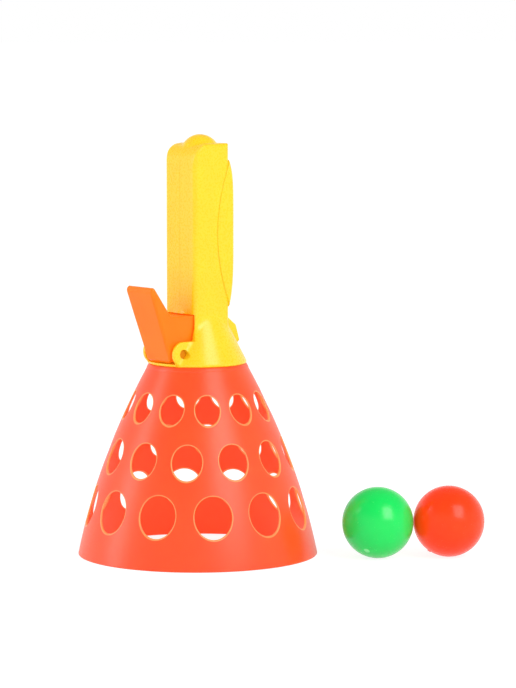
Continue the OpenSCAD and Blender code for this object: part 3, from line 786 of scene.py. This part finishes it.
basket_mat = plastic("basket_plastic", (255, 84, 22), (255, 78, 18), 0.36, glow=0.6, spread=6.0)
# The paler colour is the painted highlight round the holes, and 0.3 is the strength of the painted
# glow inside.
paint_rim_highlight_and_glow(basket_mat, (255, 156, 92), 0.3)
handle_mat = plastic("handle_plastic", (255, 209, 24), (255, 203, 18), 0.28, glow=0.2, grain=0.006)
trigger_mat = plastic("trigger_plastic", (255, 122, 18), (255, 114, 14), 0.34, glow=0.2, sheen=0.2)
# The pin's amber, darker than the trigger's orange and the handle's yellow, is the tone it shows deep
# in its shaded hole: partly painted shade.
pin_mat = plastic("pin_plastic", (218, 138, 4), (210, 130, 3), 0.4, sheen=0.2)
green_mat = plastic("green_plastic", (1, 228, 96), (1, 222, 88), 0.24, glow=0.2)
red_mat = plastic("red_plastic", (255, 60, 6), (255, 52, 4), 0.24, glow=0.2, sheen=0.3)
# Painted glow on the balls, trigger and handle: each emits its own base colour at these strengths.
paint_glow(green_mat, 0.05)
paint_glow(red_mat, 0.35)
paint_glow(trigger_mat, 0.2)
paint_glow(handle_mat, 0.06)
wire_mat = steel("spring_steel", 0.22, (1, 1, 6))
screw_mat = steel("screw_steel", 0.3, (1, 5, 1))


# Basket, handle and trigger as meshes.

def round_shell(s, a, z):
    """Place on the bell: s is measured outwards from its side, a round the axis."""
    r = side_r(z) + s
    return r * np.cos(a), r * np.sin(a), z + 0 * s * a


points, quads, normals = net(
    basket_field, spaced(*BELL_OUT), np.arange(BELL_STEPS) * 2 * math.pi / BELL_STEPS,
    spaced(*BELL_UP), place=round_shell, wrap=True)
piece("basket_bell", points, quads, basket_mat, "launcher", ["basket"], normals)

across, upright, outward = spaced(*HANDLE_X), spaced(*HANDLE_UP), spaced(*HANDLE_OUT)
for name, field, ys, node in (
        ("handle_left", left_field, -outward[::-1], "handle_left_half"),
        ("handle_right", right_field, outward, "handle_right_half")):
    points, quads, normals = net(field, across, ys, upright)
    piece(name, points, quads, handle_mat, "launcher", [node], normals)

points, quads, normals = net(
    trigger_field, spaced(*LEVER_X), spaced(*LEVER_Y), spaced(*LEVER_UP))
piece("trigger_lever", points, quads, trigger_mat, "trigger", ["trigger"],
      normals)


# Spring.

def spring_routes():
    """Routes of the spring wire: the coil with its leg on the flange, and the leg on the trigger.

    The second begins with a stretch of the coil, so that the two stay joined as the trigger swings.
    """
    start = math.pi + LEG_LEAN
    floor_z = FLANGE_TOP + WIRE_R + WIRE_GAP
    floor_leg = -PIVOT_X - THROAT_R + WIRE_GAP
    drop = math.atan2(PIVOT_Z - floor_z - COIL_R, floor_leg + 2 * WIRE_R)
    end = 1.5 * math.pi - drop + 2 * math.pi * COIL_TURNS

    def on_coil(turn):
        return (PIVOT_X + COIL_R * math.cos(turn),
                COIL_HALF * (1 - 2 * (turn - start) / (end - start)),
                PIVOT_Z + COIL_R * math.sin(turn))

    coil = [on_coil(turn) for turn in np.linspace(start, end, COIL_STEPS + 1)]
    lap = [on_coil(turn) for turn in np.linspace(start + LEG_LAP, start, LAP_STEPS)]
    tip = (lap[-1][0] - TRIGGER_LEG * math.sin(LEG_LEAN), COIL_HALF,
           lap[-1][2] + TRIGGER_LEG * math.cos(LEG_LEAN))
    return coil + [(PIVOT_X + floor_leg, -COIL_HALF, floor_z)], lap + [tip]


def tube(points, r, sides=12):
    """Points and faces of a round wire with closed ends."""
    points = [Vector(p) for p in points]
    out, faces = [], []
    for i, p in enumerate(points):
        t = (points[min(i + 1, len(points) - 1)] - points[max(i - 1, 0)]).normalized()
        u = (Vector((0, 1, 0)) - t * t.y).normalized()
        v = t.cross(u)
        for k in range(sides):
            a = 2 * math.pi * k / sides
            out.append(p + r * (math.cos(a) * u + math.sin(a) * v))
    for i in range(len(points) - 1):
        for k in range(sides):
            a, b = i * sides + k, i * sides + (k + 1) % sides
            faces.append((a, b, b + sides, a + sides))
    faces.append(tuple(range(sides))[::-1])
    faces.append(tuple(range((len(points) - 1) * sides, len(points) * sides)))
    return [tuple(p) for p in out], faces


coil_route, leg_route = spring_routes()
points, faces = tube(coil_route, WIRE_R)
piece("return_spring", points, faces, wire_mat, "launcher", ["trigger_spring"])
points, faces = tube(leg_route, WIRE_R - LEG_THINNER)
piece("return_spring_leg", points, faces, wire_mat, "trigger", [])


# Balls.

def ball(name, node, body, material, nub_bearing, nub_dip, nub_highlight_color):
    """Ball with a smooth moulding nub and a faint parting line, turned about the nub's axis."""
    low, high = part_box(node)
    middle = (Vector(low) + Vector(high)) / 2
    middle = Vector((middle.x, middle.y, BALL_R * MM)) / MM
    nub_edge = NUB_R / BALL_R
    equator = math.pi / 2
    turns = [share * nub_edge for share in NUB_TURNS]
    turns += list(np.linspace(NUB_SHOULDER * nub_edge, equator - PARTING_SIDE, ROWS_NEAR))
    turns += [equator - PARTING_HALF, equator, equator + PARTING_HALF]
    turns += list(np.linspace(equator + PARTING_SIDE, math.pi, ROWS_FAR))
    columns = BALL_COLUMNS
    bearing, dip = math.radians(nub_bearing), math.radians(nub_dip)
    axis = Vector((math.cos(dip) * math.cos(bearing), math.cos(dip) * math.sin(bearing),
                   -math.sin(dip)))
    # Painted highlight on the nub: a paler spot mixed into the base colour and the painted glow.
    paint_nub_highlight(material, middle + BALL_R * axis, NUB_HIGHLIGHT_R * NUB_R, nub_highlight_color)
    side = axis.orthogonal().normalized()
    other = axis.cross(side)
    points, faces = [], []
    for turn in turns:
        share = max(0.0, 1 - (turn / nub_edge) ** 4) if turn < nub_edge else 0.0
        r = BALL_R + NUB_SHARE * NUB_RISE * math.sqrt(share)
        if abs(turn - equator) < PARTING_HALF / 2:
            r -= PARTING_DEPTH
        for k in range(columns):
            a = 2 * math.pi * k / columns
            way = (math.cos(turn) * axis
                   + math.sin(turn) * (math.cos(a) * side + math.sin(a) * other))
            points.append(middle + r * way)
    for i in range(1, len(turns) - 2):
        for k in range(columns):
            a, b = i * columns + k, i * columns + (k + 1) % columns
            faces.append((a, a + columns, b + columns, b))
    last = (len(turns) - 1) * columns
    points[0:columns] = [points[0]]
    shift = columns - 1
    faces = [tuple(v - shift for v in f) for f in faces]
    faces += [(0, columns + k - shift, columns + (k + 1) % columns - shift)
              for k in range(columns)]
    tail = last - shift
    points = points[:tail + 1]
    faces += [(tail, tail - columns + (k + 1) % columns, tail - columns + k)
              for k in range(columns)]
    piece(name, points, faces, material, body, [node])


# The last colour of each ball is its painted nub highlight.
ball("green_ball_shell", "ball_green", "green_ball", green_mat, -155, 44,
     (130, 255, 165))
ball("red_ball_shell", "ball_red", "red_ball", red_mat, 155, 55, (225, 90, 70))


# Nodes that keep the shape of the solids.

def dress(node, material):
    """Gives a CAD node its material."""
    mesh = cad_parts[node].data
    mesh.materials.clear()
    mesh.materials.append(material)


dress("trigger_pin", pin_mat)
for i in (1, 2, 3):
    dress(f"handle_screw_{i}", screw_mat)
for i in (1, 2, 3, 4):
    dress(f"basket_screw_{i}", screw_mat)


# Floor, light and camera.

AZIMUTH = math.radians(38)
TOWARDS_CAMERA = Vector((-math.sin(AZIMUTH), -math.cos(AZIMUTH), 0))
IMAGE_RIGHT = Vector((math.cos(AZIMUTH), -math.sin(AZIMUTH), 0))

SKY_LOW = 0.25
SKY_AT_HORIZON = 0.96
SKY_AT_ZENITH = 0.36
BACKDROP_LOW = 0.3
BACKDROP_HIGH = 0.6
BACKDROP_ABOVE = 0.4
FLOOR_SIZE = 60.0
FLOOR_PLAIN = 0.86
FLOOR_SOFT = 0.3
FLOOR_WHITE = 0.86
AIM_UP = 0.1
CAMERA_FAR = 1.76
CAMERA_RIGHT = 0.034
CAMERA_UP = 0.2938
CAMERA_PITCH = math.radians(5.685)
SENSOR_HEIGHT = 36
FOCAL_LENGTH = 164.6


def camera_ray(nodes, links):
    """1 for rays from the camera and for what is seen in gloss or glass, else 0."""
    path = nodes.new("ShaderNodeLightPath")
    seen = path.outputs["Is Camera Ray"]
    for name in ("Is Glossy Ray", "Is Transmission Ray"):
        most = nodes.new("ShaderNodeMath")
        most.operation = "MAXIMUM"
        links.new(seen, most.inputs[0])
        links.new(path.outputs[name], most.inputs[1])
        seen = most.outputs[0]
    return seen


def make_floor():
    """Pale floor that looks white to the camera and keeps a faint shadow."""
    size = FLOOR_SIZE
    mesh = bpy.data.meshes.new("floor")
    mesh.from_pydata([(-size, -size, 0), (size, -size, 0), (size, size, 0), (-size, size, 0)],
                     [], [(0, 1, 2, 3)])
    floor = bpy.data.objects.new("floor", mesh)
    bpy.context.scene.collection.objects.link(floor)
    mat = bpy.data.materials.new("floor")
    mat.use_nodes = True
    nodes, links = mat.node_tree.nodes, mat.node_tree.links
    nodes.remove(nodes["Principled BSDF"])
    plain = nodes.new("ShaderNodeBsdfDiffuse")
    plain.inputs["Color"].default_value = (FLOOR_PLAIN, FLOOR_PLAIN, FLOOR_PLAIN, 1)
    soft = nodes.new("ShaderNodeBsdfDiffuse")
    soft.inputs["Color"].default_value = (FLOOR_SOFT, FLOOR_SOFT, FLOOR_SOFT, 1)
    white = nodes.new("ShaderNodeEmission")
    white.inputs["Strength"].default_value = FLOOR_WHITE
    lit = nodes.new("ShaderNodeAddShader")
    links.new(soft.outputs[0], lit.inputs[0])
    links.new(white.outputs[0], lit.inputs[1])
    mix = nodes.new("ShaderNodeMixShader")
    links.new(camera_ray(nodes, links), mix.inputs[0])
    links.new(plain.outputs[0], mix.inputs[1])
    links.new(lit.outputs[0], mix.inputs[2])
    links.new(mix.outputs[0], nodes["Material Output"].inputs["Surface"])
    mesh.materials.append(mat)


def make_world():
    """Sky that lights the toy, brightest near the horizon, and a white backdrop."""
    world = bpy.data.worlds.new("studio")
    bpy.context.scene.world = world
    world.use_nodes = True
    nodes, links = world.node_tree.nodes, world.node_tree.links
    light = nodes["Background"]
    light.inputs["Color"].default_value = (1, 1, 1, 1)
    white = nodes.new("ShaderNodeBackground")
    white.inputs["Color"].default_value = (1, 1, 1, 1)
    up = nodes.new("ShaderNodeSeparateXYZ")
    links.new(nodes.new("ShaderNodeTexCoord").outputs["Generated"], up.inputs[0])
    for shader, low, high, horizon, zenith in (
            (light, SKY_LOW, 1.0, SKY_AT_HORIZON, SKY_AT_ZENITH),
            (white, BACKDROP_LOW, BACKDROP_HIGH, 1.0, BACKDROP_ABOVE)):
        fade = nodes.new("ShaderNodeMapRange")
        fade.inputs["From Min"].default_value = low
        fade.inputs["From Max"].default_value = high
        fade.inputs["To Min"].default_value = horizon
        fade.inputs["To Max"].default_value = zenith
        links.new(up.outputs["Z"], fade.inputs["Value"])
        links.new(fade.outputs["Result"], shader.inputs["Strength"])
    mix = nodes.new("ShaderNodeMixShader")
    links.new(camera_ray(nodes, links), mix.inputs[0])
    links.new(light.outputs[0], mix.inputs[1])
    links.new(white.outputs[0], mix.inputs[2])
    links.new(mix.outputs[0], nodes["World Output"].inputs["Surface"])


def softbox(name, right, near, up, width, height, power, roll=0.0):
    """Area lamp placed by what the camera sees, aimed at the middle of the toy.

    right, near and up are metres, and roll turns the lamp about the way it shines.
    """
    light = bpy.data.lights.new(name, "AREA")
    light.shape = "RECTANGLE"
    light.size, light.size_y = width, height
    light.energy = power
    lamp = bpy.data.objects.new(name, light)
    bpy.context.scene.collection.objects.link(lamp)
    lamp.location = IMAGE_RIGHT * right + TOWARDS_CAMERA * near + Vector((0, 0, up))
    aim = Vector((0, 0, AIM_UP)) - lamp.location
    turned = aim.to_track_quat("-Z", "Y") @ Quaternion((0, 0, 1), math.radians(roll))
    lamp.rotation_euler = turned.to_euler()


def make_camera():
    """Long lens from the photo's side."""
    data = bpy.data.cameras.new("camera")
    data.sensor_fit = "VERTICAL"
    data.sensor_height = SENSOR_HEIGHT
    data.lens = FOCAL_LENGTH
    camera = bpy.data.objects.new("camera", data)
    bpy.context.scene.collection.objects.link(camera)
    camera.location = (TOWARDS_CAMERA * CAMERA_FAR + IMAGE_RIGHT * CAMERA_RIGHT
                       + Vector((0, 0, CAMERA_UP)))
    look = -TOWARDS_CAMERA * math.cos(CAMERA_PITCH) - Vector((0, 0, math.sin(CAMERA_PITCH)))
    camera.rotation_euler = look.to_track_quat("-Z", "Y").to_euler()
    bpy.context.scene.camera = camera


make_floor()
make_world()
softbox("key", right=1.0, near=1.2, up=1.15, width=0.95, height=1.25, power=18.0, roll=-15)
softbox("fill", right=-1.5, near=0.1, up=0.6, width=0.4, height=1.2, power=7.0)
make_camera()
bpy.context.scene.view_settings.view_transform = "Standard"
